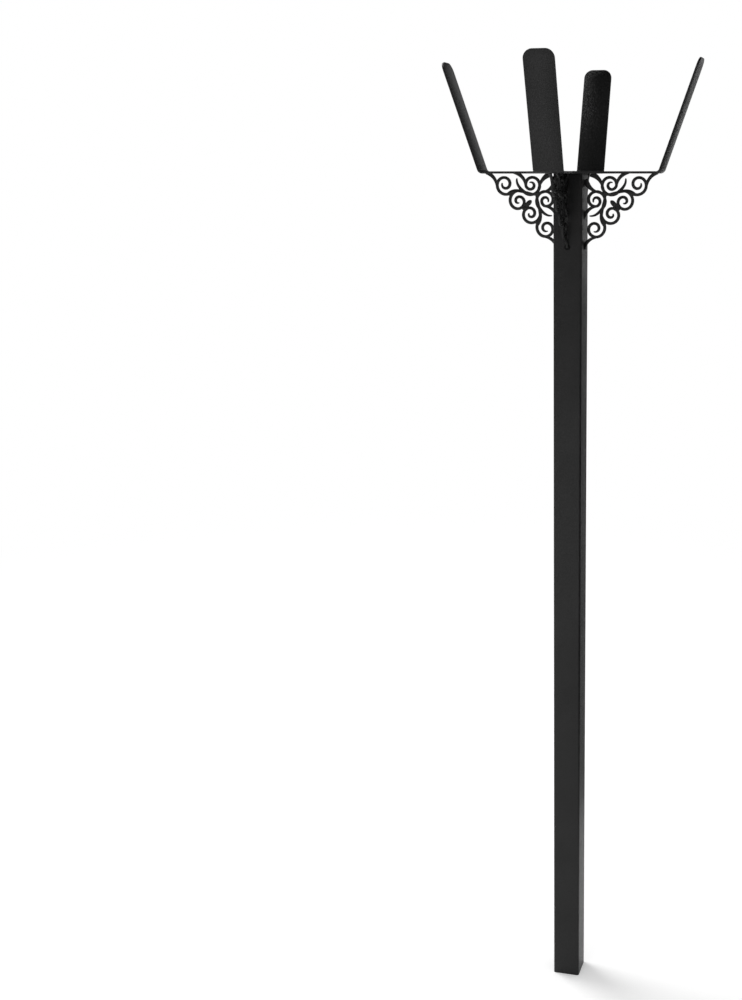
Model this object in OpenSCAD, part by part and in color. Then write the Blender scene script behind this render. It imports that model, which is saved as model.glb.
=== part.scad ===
// Post-top plant stand: a square tube post that stands in the ground and carries a cradle of four
// bent-up arms, braced under each arm by a pierced scroll bracket. Everything is welded together.
// Millimetres, +Z up, origin at the middle of the post's lower end, one arm along each of +-X and +-Y.

/* [Post] */
// Width of the square tube across the flats
tube_w = 40; // [36:1:42]
// Wall of the tube
tube_wall = 2; // [1.5:0.1:2.5]
// Outside corner radius of the tube
tube_r = 3; // [3:0.1:5]
// Length of the post from its lower end to the cradle plate
post_h = 1218; // [600:1:1800]

/* [Cradle plate] */
// Sheet thickness of the plate and its arms
plate_t = 3; // [2:0.1:4]
// Radius of the round middle of the plate
disc_r = 61.5; // [45:0.5:80]
// Width of each arm
arm_w = 40; // [30:1:50]
// Middle of the plate to the corner line of each bend, along the underside
bend_x = 125; // [123:1:150]
// Inside radius of the bends
bend_r = 4.5; // [2:0.1:5.5]
// Lean of the raised arms outward from upright, in degrees
arm_lean = 19.5; // [10:0.5:30]
// Length of a raised arm from the corner line of its bend to its tip
arm_len = 154; // [80:1:220]
// Corner radius at the arm tips
arm_tip_r = 12; // [4:0.5:14.5]

/* [Scroll brackets] */
// Sheet thickness of the brackets
bracket_t = 3; // [2:0.1:4]
// Leg of a bracket: corner of post and plate to the end of its outer foot
bracket_reach = 100; // [75:0.5:100]
// Width of the cut bands
band_w = 4; // [3.6:0.1:4.2]
// Width of the rounded band tips
tip_w = 1.7; // [1.4:0.1:2]
// Narrowest slit left open and thinnest sliver kept where bands meet
min_cut = 0.8; // [0.4:0.1:1]

/* [Welds] */
// Diameter of the round weld at each bracket's lower foot
weld_d = 8.5; // [8:0.5:10]
// Height of that weld above the post's face
weld_h = 2; // [1:0.1:3]
// Distance from the end of the foot up to the middle of the weld
weld_rise = 3; // [2:0.1:3]

/* [Hidden] */
$fn = 96;
bore_w = tube_w - 2 * tube_wall;
bore_r = max(tube_r - tube_wall, 0.5);
bend_turn = 90 - arm_lean;
bend_out = bend_r + plate_t;
bend_back = bend_out * tan(bend_turn / 2);
flat_x = bend_x - bend_back;
// The scroll pattern is drawn for a 100 mm leg and scaled to bracket_reach
drawn_reach = 100;
pattern_k = bracket_reach / drawn_reach;
band = band_w / pattern_k;
tip = tip_w / pattern_k;
// The welds are domes cut from a ball
weld_ball = (pow(weld_d / 2, 2) + pow(weld_h, 2)) / (2 * weld_h);
weld_half_turn = asin(weld_d / 2 / weld_ball);

// ---- shared outlines ----

// Square of side w about the origin with its corners rounded to radius r
module rounded_square(w, r) {
    square([w, w - 2 * r], center = true);
    square([w - 2 * r, w], center = true);
    for (sx = [-1, 1])
        for (sy = [-1, 1])
            translate([sx * (w / 2 - r), sy * (w / 2 - r)])
                circle(r = r);
}

// ---- post ----

// Square tube, cut square and open at both ends
module post_tube() {
    color("#2e2f31")
        linear_extrude(post_h)
            difference() {
                rounded_square(tube_w, tube_r);
                rounded_square(bore_w, bore_r);
            }
}

// ---- cradle plate ----

// Point on the bend at radius r, turned by a from the flat
function bend_point(r, a) = [flat_x + r * sin(a), bend_out - r * cos(a)];

// Arm on +X: the sheet's edge outline drawn in x and z, from the post's face out along the flat,
// round the bend and up, then cut round at the tip
module arm() {
    up = [cos(bend_turn), sin(bend_turn)];
    rise = arm_len - bend_back;
    turns = [for (i = [0 : 12]) bend_turn * i / 12];
    under = [for (a = turns) bend_point(bend_out, a)];
    over = [for (i = [12 : -1 : 0]) bend_point(bend_r, turns[i])];
    tip_under = bend_point(bend_out, bend_turn) + rise * up;
    tip_over = bend_point(bend_r, bend_turn) + rise * up;
    root = tube_w / 2;
    difference() {
        translate([0, arm_w / 2, 0])
            rotate([90, 0, 0])
                linear_extrude(arm_w)
                    polygon(concat([[root, plate_t], [root, 0]], under, [tip_under, tip_over], over));
        for (side = [0, 1])
            mirror([0, side, 0])
                translate([tip_over.x, arm_w / 2, tip_over.y])
                    rotate([0, 90 - bend_turn, 0])
                        translate([-1, -arm_tip_r, -arm_tip_r])
                            rotate([90, 0, 90])
                                linear_extrude(plate_t + 2)
                                    difference() {
                                        square(arm_tip_r + 1);
                                        circle(r = arm_tip_r);
                                    }
    }
}

// One cut sheet: a round middle pierced over the post's bore, and four arms bent up
module cradle_plate() {
    color("#333436")
        translate([0, 0, post_h]) {
            linear_extrude(plate_t)
                difference() {
                    circle(r = disc_r, $fn = 180);
                    rounded_square(bore_w, bore_r);
                }
            for (a = [0 : 90 : 270])
                rotate([0, 0, a])
                    arm();
        }
}

// ---- scroll brackets ----
// Drawn flat: x runs out under the arm from the post's face, y runs up to the plate's underside.

// Radius of a scroll at s = 0 (curled tip) to 1 (open end)
function scroll_radius(r0, r1, ease, s) = r0 + (r1 - r0) * pow(s, ease);

// Point at s on a scroll about c, moved out by off
function scroll_point(c, from, turn, r0, r1, ease, s, off) =
    c + (scroll_radius(r0, r1, ease, s) + off) * [cos(from + turn * s), sin(from + turn * s)];

// Band curling about c: starts at angle from, turns by turn, radius r0 growing to r1,
// width w0 at the tip swelling to w over the first part fill of its length
module scroll(c, from, turn, r0, r1, ease, w0, w, fill) {
    n = ceil(abs(turn) / 16);
    half = [for (i = [0 : n]) (w0 + (w - w0) * sin(90 * min(1, i / n / fill))) / 2];
    outer = [for (i = [0 : n]) scroll_point(c, from, turn, r0, r1, ease, i / n, half[i])];
    inner = [for (i = [n : -1 : 0]) scroll_point(c, from, turn, r0, r1, ease, i / n, -half[i])];
    polygon(concat(outer, inner));
    translate(scroll_point(c, from, turn, r0, r1, ease, 0, 0))
        circle(d = w0, $fn = 20);
}

// Point at t on the curve that leaves p[0] towards p[1] and arrives at p[3] from p[2]
function curve_point(p, t) =
    pow(1 - t, 3) * p[0] + 3 * t * pow(1 - t, 2) * p[1] + 3 * t * t * (1 - t) * p[2] + pow(t, 3) * p[3];

// Unit normal of that curve at t
function curve_normal(p, t) =
    let (d = curve_point(p, t + 0.01) - curve_point(p, t - 0.01)) [-d.y, d.x] / norm(d);

// Band along the curve, its width going from w0 to w1; ease above 1 keeps the change for the end
module stem(p, w0, w1, ease) {
    n = 10;
    half = [for (i = [0 : n]) (w0 + (w1 - w0) * pow(i / n, ease)) / 2];
    left = [for (i = [0 : n]) curve_point(p, i / n) + half[i] * curve_normal(p, i / n)];
    right = [for (i = [n : -1 : 0]) curve_point(p, i / n) - half[i] * curve_normal(p, i / n)];
    polygon(concat(left, right));
}

// The half of the pattern under the arm; the half down the post is its mirror image
module half_pattern() {
    // Outer scroll near the arm's end, and the foot that carries it under the arm
    scroll([72.8, -14.2], 15, -486, 4.2, 14, 1.4, tip, band, 0.3);
    stem([[83.5, -18.5], [85, -10.5], [87.8, -2.5], [100.6, 2.4]], 0.9 * band, 1.45 * band, 2);
    // Main stem running back from it to the ring
    stem([[68.4, -27.8], [57.5, -16.6], [44, -27.3], [28, -27.8]], 1.3 * band, 0.9 * band, 0.5);
    // Scroll on the open edge, beside the mirror line
    scroll([53.6, -36.8], -90, 534, 2.4, 14, 1.1, 1.2 * tip, band, 0.3);
    // Ring in the corner, the small scroll inside it and that scroll's foot under the arm
    scroll([35, -14.5], 5, 313, 8.3, 14.7, 1.3, band, band, 1);
    scroll([35.8, -15.5], 70, 280, 4.1, 7.1, 3, tip, band, 0.6);
    stem([[42.9, -17], [43.6, -10.5], [46.6, -2.5], [59.4, 2.4]], 0.9 * band, 1.45 * band, 2);
    // Pointed leaf springing from the ring
    stem([[55.9, -7], [56.8, -14.5], [51, -20.5], [44, -25.5]], tip, 1.1 * band, 0.6);
    translate([55.9, -7])
        circle(d = tip, $fn = 20);
    // Corner stem: from the mirror line up to the broad foot beside the post
    stem([[26.5, -25.5], [24, -12.7], [20.5, -5.5], [8, 0]], 0.7 * band, 2.2 * band, 2);
}

// Solid middles on the mirror line: where the rings cross, where the edge scrolls meet, and the bud
module middle_pattern() {
    rotate([0, 0, -45]) {
        translate([37.3, 0])
            circle(r = 3.6, $fn = 32);
        translate([62.5, 0])
            circle(r = 5.4, $fn = 32);
        translate([56, 0])
            scale([1, 0.54])
                circle(r = 5.8, $fn = 32);
    }
}

// Whole cut outline cleaned of slits and slivers, its feet trimmed flat to the post and the plate
module bracket_outline() {
    intersection() {
        translate([0, -bracket_reach])
            square(bracket_reach);
        offset(delta = min_cut / 2)
            offset(delta = -min_cut)
                offset(delta = min_cut / 2)
                    scale(pattern_k) {
                        half_pattern();
                        mirror([1, 1])
                            half_pattern();
                        middle_pattern();
                    }
    }
}

// Bracket in the middle plane of one side, turned to face the arm at angle a
module scroll_bracket(a) {
    color("#262729")
        rotate([0, 0, a])
            translate([tube_w / 2, bracket_t / 2, post_h])
                rotate([90, 0, 0])
                    linear_extrude(bracket_t)
                        bracket_outline();
}

module scroll_bracket_front() {
    scroll_bracket(-90);
}

module scroll_bracket_right() {
    scroll_bracket(0);
}

module scroll_bracket_back() {
    scroll_bracket(90);
}

module scroll_bracket_left() {
    scroll_bracket(180);
}

// ---- welds ----

// Domed weld on the post's face under a bracket's lower foot, slotted where the foot runs into it
module toe_weld(a) {
    rim = [for (i = [0 : 6]) weld_half_turn * (1 - i / 6)];
    color("#242527")
        rotate([0, 0, a])
            translate([tube_w / 2, 0, post_h - bracket_reach + weld_rise])
                difference() {
                    rotate([0, 90, 0])
                        rotate_extrude($fn = 36)
                            polygon(concat([[0, 0]], [for (b = rim)
                                [weld_ball * sin(b), weld_h - weld_ball * (1 - cos(b))]]));
                    translate([-1, -bracket_t / 2, -weld_rise])
                        cube([weld_h + 2, bracket_t, weld_rise + weld_d]);
                }
}

module toe_weld_front() {
    toe_weld(-90);
}

module toe_weld_right() {
    toe_weld(0);
}

module toe_weld_back() {
    toe_weld(90);
}

module toe_weld_left() {
    toe_weld(180);
}

post_tube();
cradle_plate();
scroll_bracket_front();
scroll_bracket_right();
scroll_bracket_back();
scroll_bracket_left();
toe_weld_front();
toe_weld_right();
toe_weld_back();
toe_weld_left();
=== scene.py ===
import math

import bmesh
import bpy
from mathutils import Matrix, Vector


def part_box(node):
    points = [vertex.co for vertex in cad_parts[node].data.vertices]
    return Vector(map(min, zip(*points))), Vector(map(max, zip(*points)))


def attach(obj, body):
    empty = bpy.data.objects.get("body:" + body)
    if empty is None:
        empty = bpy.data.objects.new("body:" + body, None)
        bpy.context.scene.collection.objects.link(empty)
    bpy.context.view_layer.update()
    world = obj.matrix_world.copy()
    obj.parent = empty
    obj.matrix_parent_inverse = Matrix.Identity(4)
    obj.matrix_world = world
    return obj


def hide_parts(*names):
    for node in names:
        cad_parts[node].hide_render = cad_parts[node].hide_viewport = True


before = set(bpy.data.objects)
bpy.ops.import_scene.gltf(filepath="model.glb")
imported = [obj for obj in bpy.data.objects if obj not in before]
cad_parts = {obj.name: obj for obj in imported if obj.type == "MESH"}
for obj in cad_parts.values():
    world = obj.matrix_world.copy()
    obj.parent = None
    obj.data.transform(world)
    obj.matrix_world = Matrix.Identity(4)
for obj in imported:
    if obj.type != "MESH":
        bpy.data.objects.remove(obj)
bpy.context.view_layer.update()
scene = bpy.context.scene

# ---------------------------------------------------------------------------
# Camera: a 47 mm lens level with the cradle, 1.83 m in front of the post and a little to its
# right, looking down so that the whole post is in view with the object at the right of the frame.
# ---------------------------------------------------------------------------
post_lo, post_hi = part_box("post_tube")
post_top = post_hi.z
sheet = 0.003
plate_top = post_top + sheet

camera_turn = math.radians(13.69)
camera_tilt = math.radians(14.32)
camera_away = 1.8325
camera_left = 0.0164
camera_down = 0.0062
level = Vector((-math.sin(camera_turn), math.cos(camera_turn), 0))
right = Vector((math.cos(camera_turn), math.sin(camera_turn), 0))
forward = level * math.cos(camera_tilt) - Vector((0, 0, math.sin(camera_tilt)))
above = level * math.sin(camera_tilt) + Vector((0, 0, math.cos(camera_tilt)))
eye = (Vector((0, 0, plate_top)) - level * camera_away - right * camera_left
       - Vector((0, 0, camera_down)))

bpy.ops.object.camera_add(location=eye)
camera = bpy.context.object
camera.name = "camera"
camera.rotation_euler = Matrix((right, above, -forward)).transposed().to_euler()
camera.data.sensor_width = 36
camera.data.lens = 47.13
camera.data.shift_x = -0.1877
camera.data.shift_y = 0.0102
camera.data.clip_end = 50
scene.camera = camera

# ---------------------------------------------------------------------------
# Studio: a white floor under the post's end that runs out into a white backdrop, a large soft lamp
# high behind at the left and a small one in front. Three cards at the right show in the gloss
# only: they tone down the post's right face and draw its dark edge.
# ---------------------------------------------------------------------------
scene.view_settings.view_transform = "Standard"
floor_size = 16
floor_white = 0.9
floor_glow = 0.3
run_out_from, run_out_to = 0.6, 3.0
room_light = 0.44
fade_height, overhead_white = 0.42, 0.08
lamp_aim = Vector((0, 0, 1.0))


def background_ray(nodes, links):
    """Gives 1 where the background is seen straight on, in metal or through glass, else 0."""
    ray = nodes.new("ShaderNodeLightPath")
    seen = ray.outputs["Is Camera Ray"]
    for other in ("Is Glossy Ray", "Is Transmission Ray"):
        either = nodes.new("ShaderNodeMath")
        either.operation = "MAXIMUM"
        links.new(seen, either.inputs[0])
        links.new(ray.outputs[other], either.inputs[1])
        seen = either.outputs[0]
    return seen


def glow(nodes, strength):
    """A plain white emission."""
    light = nodes.new("ShaderNodeEmission")
    light.inputs["Color"].default_value = (1, 1, 1, 1)
    light.inputs["Strength"].default_value = strength
    return light


def blend(nodes, links, amount, first, second):
    """Mixes two shaders by an amount from a socket."""
    mix = nodes.new("ShaderNodeMixShader")
    links.new(amount, mix.inputs["Fac"])
    links.new(first.outputs[0], mix.inputs[1])
    links.new(second.outputs[0], mix.inputs[2])
    return mix


bpy.ops.object.select_all(action="DESELECT")
bpy.ops.mesh.primitive_plane_add(size=floor_size, location=(0, 0, 0))
floor = bpy.context.object
floor.name = "studio_floor"
floor_paint = bpy.data.materials.new("studio_floor")
floor_paint.use_nodes = True
nodes, links = floor_paint.node_tree.nodes, floor_paint.node_tree.links
nodes.clear()
painted = nodes.new("ShaderNodeBsdfDiffuse")
painted.inputs["Color"].default_value = (floor_white, floor_white, floor_white, 1)
near = nodes.new("ShaderNodeAddShader")
links.new(painted.outputs[0], near.inputs[0])
links.new(glow(nodes, floor_glow).outputs[0], near.inputs[1])
spot = nodes.new("ShaderNodeTexCoord")
away = nodes.new("ShaderNodeVectorMath")
away.operation = "LENGTH"
links.new(spot.outputs["Object"], away.inputs[0])
run_out = nodes.new("ShaderNodeMapRange")
run_out.interpolation_type = "SMOOTHSTEP"
run_out.inputs["From Min"].default_value = run_out_from
run_out.inputs["From Max"].default_value = run_out_to
links.new(away.outputs["Value"], run_out.inputs["Value"])
sweep = blend(nodes, links, run_out.outputs["Result"], near, glow(nodes, 1.0))
surface = blend(nodes, links, background_ray(nodes, links), painted, sweep)
out = nodes.new("ShaderNodeOutputMaterial")
links.new(surface.outputs[0], out.inputs["Surface"])
floor.data.materials.append(floor_paint)

surround = bpy.data.worlds.new("studio_surround")
scene.world = surround
surround.use_nodes = True
nodes, links = surround.node_tree.nodes, surround.node_tree.links
nodes.clear()
room = nodes.new("ShaderNodeBackground")
room.inputs["Color"].default_value = (1, 1, 1, 1)
room.inputs["Strength"].default_value = room_light
backdrop = nodes.new("ShaderNodeBackground")
backdrop.inputs["Color"].default_value = (1, 1, 1, 1)
# In the gloss the backdrop fades from white at the horizon to nearly black overhead
direction = nodes.new("ShaderNodeTexCoord")
height = nodes.new("ShaderNodeSeparateXYZ")
links.new(direction.outputs["Generated"], height.inputs[0])
fade = nodes.new("ShaderNodeMapRange")
fade.inputs["From Max"].default_value = fade_height
fade.inputs["To Min"].default_value = 1.0
fade.inputs["To Max"].default_value = overhead_white
links.new(height.outputs["Z"], fade.inputs["Value"])
straight = nodes.new("ShaderNodeLightPath")
bright = nodes.new("ShaderNodeMath")
bright.operation = "MAXIMUM"
links.new(straight.outputs["Is Camera Ray"], bright.inputs[0])
links.new(fade.outputs["Result"], bright.inputs[1])
links.new(bright.outputs[0], backdrop.inputs["Strength"])
surface = blend(nodes, links, background_ray(nodes, links), room, backdrop)
out = nodes.new("ShaderNodeOutputWorld")
links.new(surface.outputs[0], out.inputs["Surface"])

for name, place, size, power in (
    ("key_lamp", (-2.6, 1.2, 3.6), 2.4, 110),
    ("fill_lamp", (-0.45, -2.4, 0.6), 0.8, 14),
):
    bpy.ops.object.light_add(type="AREA", location=place)
    lamp = bpy.context.object
    lamp.name = name
    lamp.data.shape = "DISK"
    lamp.data.size = size
    lamp.data.energy = power
    lamp.rotation_euler = (lamp_aim - lamp.location).to_track_quat("-Z", "Y").to_euler()

for name, shade, place, turn, spread in (
    ("studio_black_card", 0.02, (0.85, 1.0, 0.8), -40, (2.6, 1.8, 1)),
    ("studio_grey_card", 0.5, (0.25, 0.35, 0.54), -30, (0.6, 1.08, 1)),
    ("studio_side_card", 0.02, (0.35, -0.08, 0.5), 90, (0.6, 1.0, 1)),
):
    cloth = bpy.data.materials.new(name)
    cloth.use_nodes = True
    felt = cloth.node_tree.nodes["Principled BSDF"]
    felt.inputs["Base Color"].default_value = (shade, shade, shade, 1)
    felt.inputs["Roughness"].default_value = 1.0
    felt.inputs["Specular IOR Level"].default_value = 0.0
    bpy.ops.object.select_all(action="DESELECT")
    bpy.ops.mesh.primitive_plane_add(
        size=1,
        location=place,
        rotation=(math.pi / 2, 0, math.radians(turn)),
        scale=spread,
    )
    card = bpy.context.object
    card.name = name
    card.visible_camera = False
    card.visible_diffuse = False
    card.visible_shadow = False
    card.data.materials.append(cloth)

# ---------------------------------------------------------------------------
# Post: 40 mm square steel tube with a 2 mm wall, sawn square at both ends and left open, its
# corners rounded by the rolling. It is coated with the rest once everything is welded.
# ---------------------------------------------------------------------------
tube_width = post_hi.x - post_lo.x
tube_wall = 0.002
tube_corner = 0.003
sawn_edge = 0.0004


def edit(piece, mode="EDGE"):
    """Opens the piece in edit mode with nothing selected."""
    bpy.ops.object.select_all(action="DESELECT")
    piece.select_set(True)
    bpy.context.view_layer.objects.active = piece
    bpy.ops.object.mode_set(mode="EDIT")
    bpy.ops.mesh.select_mode(type=mode)
    bpy.ops.mesh.select_all(action="DESELECT")


def pick(piece, kind, wanted):
    """Selects the verts, edges or faces that wanted() says yes to."""
    mesh = bmesh.from_edit_mesh(piece.data)
    for part in getattr(mesh, kind):
        if wanted(part):
            part.select_set(True)
    bmesh.update_edit_mesh(piece.data)


def upright(edge, least):
    """Says whether an edge climbs by more than the least height."""
    return abs(edge.verts[0].co.z - edge.verts[1].co.z) > least


def settle(piece):
    """Leaves edit mode and puts the piece's place into its mesh."""
    bpy.ops.object.mode_set(mode="OBJECT")
    bpy.ops.object.select_all(action="DESELECT")
    piece.select_set(True)
    bpy.context.view_layer.objects.active = piece
    bpy.ops.object.transform_apply(location=True, rotation=True, scale=True)


def modify(piece, kind, **settings):
    """Adds a modifier and applies it."""
    bpy.context.view_layer.objects.active = piece
    modifier = piece.modifiers.new(kind.lower(), kind)
    for key, value in settings.items():
        setattr(modifier, key, value)
    bpy.ops.object.modifier_apply(modifier=modifier.name)


def smooth(piece, degrees=35):
    """Shades rounded faces smooth and leaves the real corners sharp."""
    bpy.ops.object.select_all(action="DESELECT")
    piece.select_set(True)
    bpy.context.view_layer.objects.active = piece
    bpy.ops.object.shade_smooth_by_angle(angle=math.radians(degrees))


def powder_coat(name, grain=750, rough=0.4, sheen=0.2, deepest=0.002, palest=0.018):
    """Satin black powder coat: fine leathery grain, with faint clouds in depth and gloss."""
    cloud_scale, speckle_share = 14, 0.75
    deepest_at, palest_at = 0.38, 0.64
    relief_height = 0.0007
    coat = bpy.data.materials.new(name)
    coat.use_nodes = True
    nodes, links = coat.node_tree.nodes, coat.node_tree.links
    shader = nodes["Principled BSDF"]
    shader.inputs["Specular IOR Level"].default_value = sheen
    place = nodes.new("ShaderNodeTexCoord")

    clouds = nodes.new("ShaderNodeTexNoise")
    clouds.inputs["Scale"].default_value = cloud_scale
    clouds.inputs["Detail"].default_value = 4
    links.new(place.outputs["Object"], clouds.inputs["Vector"])

    speckle = nodes.new("ShaderNodeTexNoise")
    speckle.inputs["Scale"].default_value = grain
    speckle.inputs["Detail"].default_value = 5
    speckle.inputs["Roughness"].default_value = 0.62
    links.new(place.outputs["Object"], speckle.inputs["Vector"])

    depth = nodes.new("ShaderNodeMix")
    depth.data_type = "FLOAT"
    depth.inputs["Factor"].default_value = speckle_share
    links.new(clouds.outputs["Fac"], depth.inputs[2])
    links.new(speckle.outputs["Fac"], depth.inputs[3])

    black = nodes.new("ShaderNodeValToRGB")
    black.color_ramp.elements[0].position = deepest_at
    black.color_ramp.elements[0].color = (deepest, deepest, deepest, 1)
    black.color_ramp.elements[1].position = palest_at
    black.color_ramp.elements[1].color = (palest, palest, palest, 1)
    links.new(depth.outputs[0], black.inputs["Fac"])
    links.new(black.outputs["Color"], shader.inputs["Base Color"])

    gloss = nodes.new("ShaderNodeMapRange")
    gloss.inputs["From Min"].default_value = 0.3
    gloss.inputs["From Max"].default_value = 0.7
    gloss.inputs["To Min"].default_value = rough - 0.05
    gloss.inputs["To Max"].default_value = rough + 0.07
    links.new(depth.outputs[0], gloss.inputs["Value"])
    links.new(gloss.outputs["Result"], shader.inputs["Roughness"])

    relief = nodes.new("ShaderNodeBump")
    relief.inputs["Strength"].default_value = 1.0
    relief.inputs["Distance"].default_value = relief_height
    links.new(speckle.outputs["Fac"], relief.inputs["Height"])
    links.new(relief.outputs["Normal"], shader.inputs["Normal"])
    return coat


def finish_piece(piece, coat, node):
    """Coats the piece, sets it on the post's body and lets it stand for its CAD node."""
    piece.data.materials.clear()
    piece.data.materials.append(coat)
    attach(piece, "root")
    if node:
        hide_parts(node)


bpy.ops.object.select_all(action="DESELECT")
bpy.ops.mesh.primitive_cube_add(
    size=tube_width,
    location=(0, 0, post_top / 2),
    scale=(1, 1, post_top / tube_width),
)
post = bpy.context.object
post.name = "post_square_tube"
settle(post)
edit(post, "FACE")
pick(post, "faces", lambda f: abs(f.normal.z) > 0.9)
bpy.ops.mesh.delete(type="ONLY_FACE")
bpy.ops.mesh.select_mode(type="EDGE")
pick(post, "edges", lambda e: upright(e, post_top / 2))
bpy.ops.mesh.bevel(offset=tube_corner, offset_type="OFFSET", segments=8, affect="EDGES")
settle(post)
modify(post, "SOLIDIFY", thickness=tube_wall, offset=-1, use_even_offset=True)
modify(post, "BEVEL", width=sawn_edge, segments=2, limit_method="ANGLE",
       angle_limit=math.radians(60))
smooth(post)
finish_piece(post, powder_coat("powder_coat_post"), "post_tube")

# ---------------------------------------------------------------------------
# Cradle: one laser-cut steel sheet, a round middle pierced over the tube's bore, with four arms
# turned up in a press brake and their tips rounded. Its rim is softened by the coat.
# ---------------------------------------------------------------------------
disc_radius = 0.0615
arm_width = 0.040
bend_corner = 0.125
bend_inside = 0.0045
arm_lean = math.radians(19.5)
arm_length = 0.154
tip_corner = 0.012
hole_corner = 0.001
rim_round = 0.0005
same_point = 1e-6
bend_turn = math.pi / 2 - arm_lean
bend_outside = bend_inside + sheet
bend_back = bend_outside * math.tan(bend_turn / 2)
flat_end = bend_corner - bend_back
tip_height = post_top + 0.13
bore = tube_width - 2 * tube_wall


def cut_with(piece, tool, how):
    """Joins the tool to the piece or cuts it away, and removes the tool."""
    modify(piece, "BOOLEAN", object=tool, operation=how, solver="EXACT")
    bpy.data.objects.remove(tool)


bpy.ops.object.select_all(action="DESELECT")
bpy.ops.mesh.primitive_cylinder_add(
    vertices=180,
    radius=disc_radius,
    depth=sheet,
    location=(0, 0, post_top + sheet / 2),
)
cradle = bpy.context.object
cradle.name = "cradle_sheet"
settle(cradle)
for along in ((1, 0), (0, 1)):
    bpy.ops.object.select_all(action="DESELECT")
    bpy.ops.mesh.primitive_cube_add(
        size=1,
        location=(0, 0, post_top + sheet / 2),
        scale=(
            2 * flat_end if along[0] else arm_width,
            2 * flat_end if along[1] else arm_width,
            sheet,
        ),
    )
    bar = bpy.context.object
    settle(bar)
    cut_with(cradle, bar, "UNION")
bpy.ops.object.select_all(action="DESELECT")
bpy.ops.mesh.primitive_cube_add(size=bore, location=(0, 0, post_top))
punch = bpy.context.object
settle(punch)
edit(punch)
pick(punch, "edges", lambda e: upright(e, bore / 2))
bpy.ops.mesh.bevel(offset=hole_corner, offset_type="OFFSET", segments=4, affect="EDGES")
settle(punch)
cut_with(cradle, punch, "DIFFERENCE")

for side in range(4):
    turn = Matrix.Rotation(side * math.pi / 2, 3, "Z")
    out = turn @ Vector((1, 0, 0))
    across = turn @ Vector((0, 1, 0))
    axis_at = out * flat_end + Vector((0, 0, post_top + bend_outside))
    rise = out * math.cos(bend_turn) + Vector((0, 0, math.sin(bend_turn)))
    edit(cradle, "FACE")
    pick(cradle, "faces", lambda f: f.normal.dot(out) > 0.99
         and f.calc_center_median().dot(out) > flat_end - 1e-5)
    bpy.ops.mesh.spin(steps=14, angle=bend_turn, use_auto_merge=False, center=axis_at, axis=across)
    bpy.ops.mesh.extrude_region_move(
        TRANSFORM_OT_translate={"value": rise * (arm_length - bend_back)})
    bpy.ops.mesh.select_all(action="DESELECT")
    bpy.ops.mesh.select_mode(type="EDGE")
    pick(cradle, "edges", lambda e: min(v.co.z for v in e.verts) > tip_height
         and (e.verts[0].co - e.verts[1].co).length < 1.1 * sheet
         and min(v.co.dot(out) for v in e.verts) > flat_end)
    bpy.ops.mesh.bevel(offset=tip_corner, offset_type="OFFSET", segments=10, affect="EDGES")
    settle(cradle)
edit(cradle)
bpy.ops.mesh.select_all(action="SELECT")
bpy.ops.mesh.remove_doubles(threshold=same_point)
settle(cradle)
modify(cradle, "BEVEL", width=rim_round, segments=2, limit_method="ANGLE",
       angle_limit=math.radians(40), harden_normals=True)
smooth(cradle)
finish_piece(cradle, powder_coat("powder_coat_cradle"), "cradle_plate")

# ---------------------------------------------------------------------------
# Scroll brackets: four like sheets pierced by laser into scrolls, rings and leaves, one standing
# on edge under each arm. Each is traced round the solid's outline and given a softened rim.
# ---------------------------------------------------------------------------
rim = 0.0003
sharp_corner = math.radians(27)
four_sides = (("front", -90), ("right", 0), ("back", 90), ("left", 180))


def copy_turned(pattern, name, degrees):
    """Copies a finished pattern with its own mesh, turned round the post to one side."""
    made = pattern.copy()
    made.data = pattern.data.copy()
    scene.collection.objects.link(made)
    made.name = name
    made.data.transform(Matrix.Rotation(math.radians(degrees), 4, "Z"))
    return made


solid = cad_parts["scroll_bracket_right"]
bracket = solid.copy()
bracket.data = solid.data.copy()
bracket.parent = None
for mark in list(bracket.keys()):
    del bracket[mark]
scene.collection.objects.link(bracket)
bracket.name = "scroll_bracket_outline"
edit(bracket, "FACE")
bpy.ops.mesh.select_all(action="SELECT")
bpy.ops.mesh.remove_doubles(threshold=same_point)
bpy.ops.mesh.select_all(action="DESELECT")
pick(bracket, "faces", lambda f: f.normal.y > 0.9)
bpy.ops.mesh.region_to_loop()
bpy.ops.mesh.select_all(action="INVERT")
bpy.ops.mesh.delete(type="EDGE")
bpy.ops.object.mode_set(mode="OBJECT")
lay_flat = Matrix(((1, 0, 0, 0), (0, 0, 1, 0), (0, -1, 0, 0), (0, 0, 0, 1)))
bracket.data.transform(Matrix.Translation((0, 0, sheet / 2)) @ lay_flat)
bpy.ops.object.select_all(action="DESELECT")
bracket.select_set(True)
bpy.context.view_layer.objects.active = bracket
bpy.ops.object.convert(target="CURVE")
bracket = bpy.context.object
bracket.data.dimensions = "2D"
for spline in bracket.data.splines:
    spline.type = "BEZIER"
    points = spline.bezier_points
    count = len(points)
    for i in range(count):
        before = points[i].co - points[i - 1].co
        after = points[(i + 1) % count].co - points[i].co
        corner = before.to_2d().angle(after.to_2d(), 0) > sharp_corner
        for handle in ("handle_left_type", "handle_right_type"):
            setattr(points[i], handle, "VECTOR" if corner else "AUTO")
bracket.data.fill_mode = "BOTH"
bracket.data.resolution_u = 3
bracket.data.extrude = sheet / 2 - rim
bracket.data.bevel_depth = rim
bracket.data.bevel_resolution = 1
bracket.data.offset = -rim
bpy.ops.object.convert(target="MESH")
bracket = bpy.context.object
bracket.data.transform(lay_flat.inverted())
edit(bracket)
bpy.ops.mesh.select_all(action="SELECT")
bpy.ops.mesh.remove_doubles(threshold=same_point)
bpy.ops.mesh.normals_make_consistent(inside=False)
settle(bracket)
smooth(bracket, 40)

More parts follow.
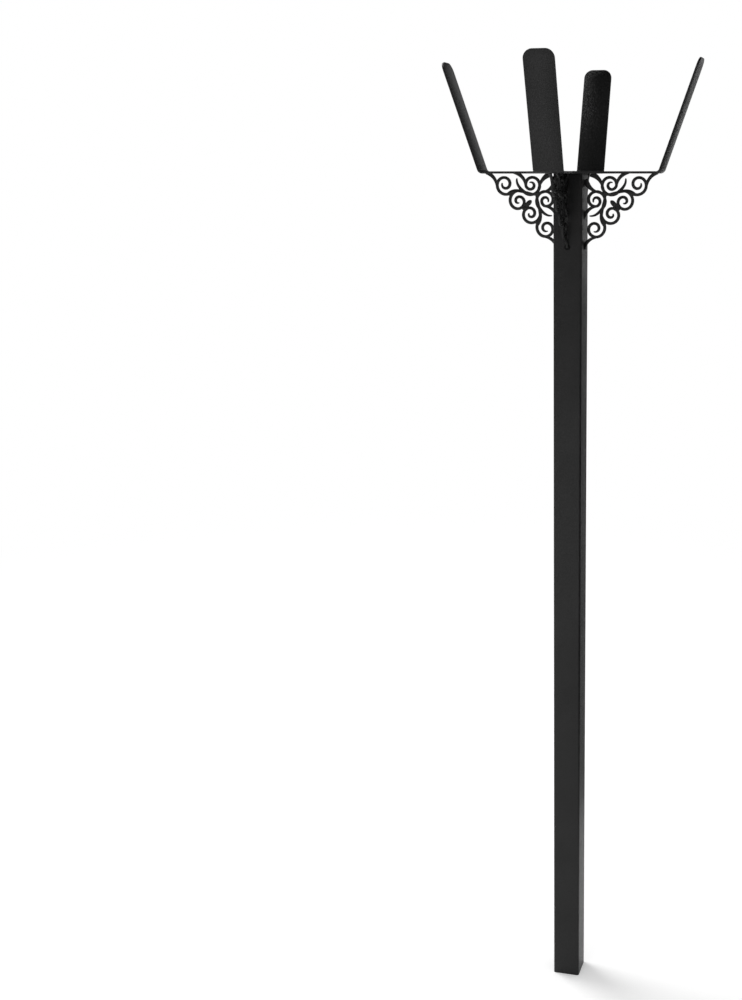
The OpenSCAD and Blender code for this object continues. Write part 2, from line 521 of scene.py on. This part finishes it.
# The brackets' coat is the post's coat drawn a little darker and less glossy: painted shade.
bracket_coat_painted_shade = powder_coat("powder_coat_brackets_painted_shade", sheen=0.18, palest=0.015)
for side, degrees in four_sides:
    cut = copy_turned(bracket, "scroll_sheet_" + side, degrees)
    finish_piece(cut, bracket_coat_painted_shade, "scroll_bracket_" + side)
bpy.data.objects.remove(bracket)

# ---------------------------------------------------------------------------
# Toe welds: a round puddle of weld on each face of the post where a bracket's lower foot ends,
# wider than it is high, with a sunken middle. It is coated with the rest, but its coat is drawn
# much darker and less glossy as painted shade.
# ---------------------------------------------------------------------------
weld_lo, weld_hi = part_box("toe_weld_right")
weld_radius = (weld_hi.y - weld_lo.y) / 2
weld_height = weld_hi.x - weld_lo.x
weld_middle = (tube_width / 2, 0, weld_lo.z + weld_radius)
weld_rings = ((0.35, 0.99), (0.35, 0.9), (0.22, 0.78), (0.06, 0.6), (-0.08, 0.4))


def face_out(piece):
    """Turns every face of a closed piece outwards."""
    edit(piece)
    bpy.ops.mesh.select_all(action="SELECT")
    bpy.ops.mesh.normals_make_consistent(inside=False)
    settle(piece)


bpy.ops.object.select_all(action="DESELECT")
bpy.ops.mesh.primitive_circle_add(
    vertices=32,
    radius=weld_radius,
    fill_type="NGON",
    location=weld_middle,
    rotation=(0, math.pi / 2, 0),
)
weld = bpy.context.object
weld.name = "toe_weld_puddle"
settle(weld)
edit(weld, "FACE")
bpy.ops.mesh.select_all(action="SELECT")
for step_up, shrink in weld_rings:
    bpy.ops.mesh.extrude_region_move(
        TRANSFORM_OT_translate={"value": (step_up * weld_height, 0, 0)})
    bpy.ops.transform.resize(value=(1, shrink, shrink), center_override=weld_middle)
settle(weld)
face_out(weld)
modify(weld, "SUBSURF", levels=1, render_levels=1)
smooth(weld, 60)
# The welds' coat is the same powder coat made much darker and less glossy: painted shade under the
# brackets.
weld_coat_painted_shade = powder_coat("powder_coat_welds_painted_shade", 1100, 0.35, sheen=0.05, palest=0.005)
for side, degrees in four_sides:
    puddle = copy_turned(weld, "weld_puddle_" + side, degrees)
    finish_piece(puddle, weld_coat_painted_shade, "toe_weld_" + side)
bpy.data.objects.remove(weld)

# ---------------------------------------------------------------------------
# Mouth welds: a ragged bead along three sides of the square hole, where the sheet is joined to the
# tube's upper end. Its lumps show along the hole's far edge, and the coat has run over them.
# ---------------------------------------------------------------------------
bead_radius = 0.0011
bead_end = 0.7
bead_sunk = 0.0004
bead_past_bore = 0.0002
bead_length = bore - 0.003
bead_lumps = (1.3, 1.12, 0.8, 1.25, 0.78, 0.92, 1.3, 1.05, 0.72, 1.2, 0.85, 1.22, 0.8, 1.1, 0.7)
bead_step = bead_length / len(bead_lumps)
bead_middle = Vector((bore / 2 + bead_past_bore, -bead_length / 2, plate_top - bead_sunk))
bpy.ops.object.select_all(action="DESELECT")
bpy.ops.mesh.primitive_circle_add(
    vertices=12,
    radius=bead_radius * bead_end,
    fill_type="NGON",
    location=bead_middle,
    rotation=(math.pi / 2, 0, 0),
)
bead = bpy.context.object
bead.name = "mouth_weld_bead"
settle(bead)
edit(bead, "FACE")
bpy.ops.mesh.select_all(action="SELECT")
for lump in bead_lumps:
    bead_middle.y += bead_step
    bpy.ops.mesh.extrude_region_move(TRANSFORM_OT_translate={"value": (0, bead_step, 0)})
    bpy.ops.transform.resize(value=(lump, 1, lump), center_override=bead_middle)
settle(bead)
face_out(bead)
modify(bead, "SUBSURF", levels=1, render_levels=1)
smooth(bead, 60)
for side, degrees in four_sides[1:]:
    run = copy_turned(bead, "mouth_weld_" + side, degrees)
    # The bead takes the welds' darkened coat: painted shade in the hole's mouth.
    finish_piece(run, weld_coat_painted_shade, None)
bpy.data.objects.remove(bead)
